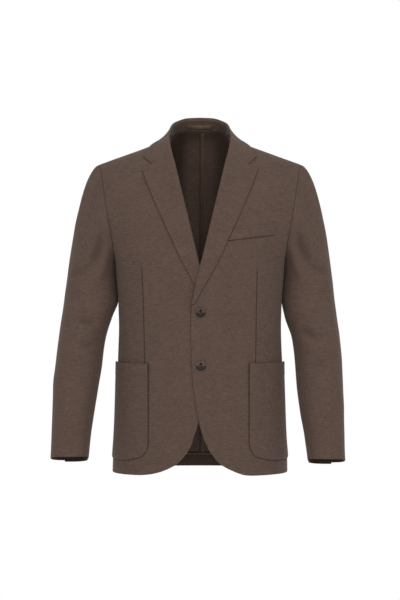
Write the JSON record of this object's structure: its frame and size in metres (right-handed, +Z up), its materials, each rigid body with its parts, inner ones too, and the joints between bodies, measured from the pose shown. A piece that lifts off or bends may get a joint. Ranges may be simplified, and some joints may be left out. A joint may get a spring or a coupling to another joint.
{
  "type": "blazer",
  "caption": "Single-breasted linen blazer with notch lapels, a breast welt and patch pockets, buttoned and filled out as worn, open at the neck, cuffs and hem.",
  "frame": {"origin": "middle of the neck, level with the inner ends of the shoulder seams, where the jacket hangs from the wearer", "axes": "+X the wearer's left, -Y the front, +Z up"},
  "size_m": [0.6316, 0.2652, 0.7764],
  "materials": {
    "linen": "dark brown linen, plain weave with slubs, matt",
    "linen_facing": "the same linen on the facings of the lapels and the top collar, cut so the weave runs aslant",
    "golden_tape": "golden brown cotton twill tape",
    "horn": "brown horn or horn-effect resin, satin"
  },
  "bodies": {
    "root": {"back_left": "linen", "back_right": "linen", "side_left": "linen", "side_right": "linen", "front_left": "linen", "front_right": "linen", "top_sleeve_left": "linen", "top_sleeve_right": "linen", "under_sleeve_left": "linen", "under_sleeve_right": "linen", "patch_pocket_left": "linen", "patch_pocket_right": "linen", "breast_welt": "linen", "collar_stand": "linen", "hem_turnup": "linen", "lapel_left": "linen_facing", "lapel_right": "linen_facing", "collar_leaf": "linen_facing", "hanger_loop": "golden_tape", "back_seam_binding": "golden_tape", "hem_binding": "golden_tape", "button_upper": "horn", "button_lower": "horn"}
  },
  "joints": []
}
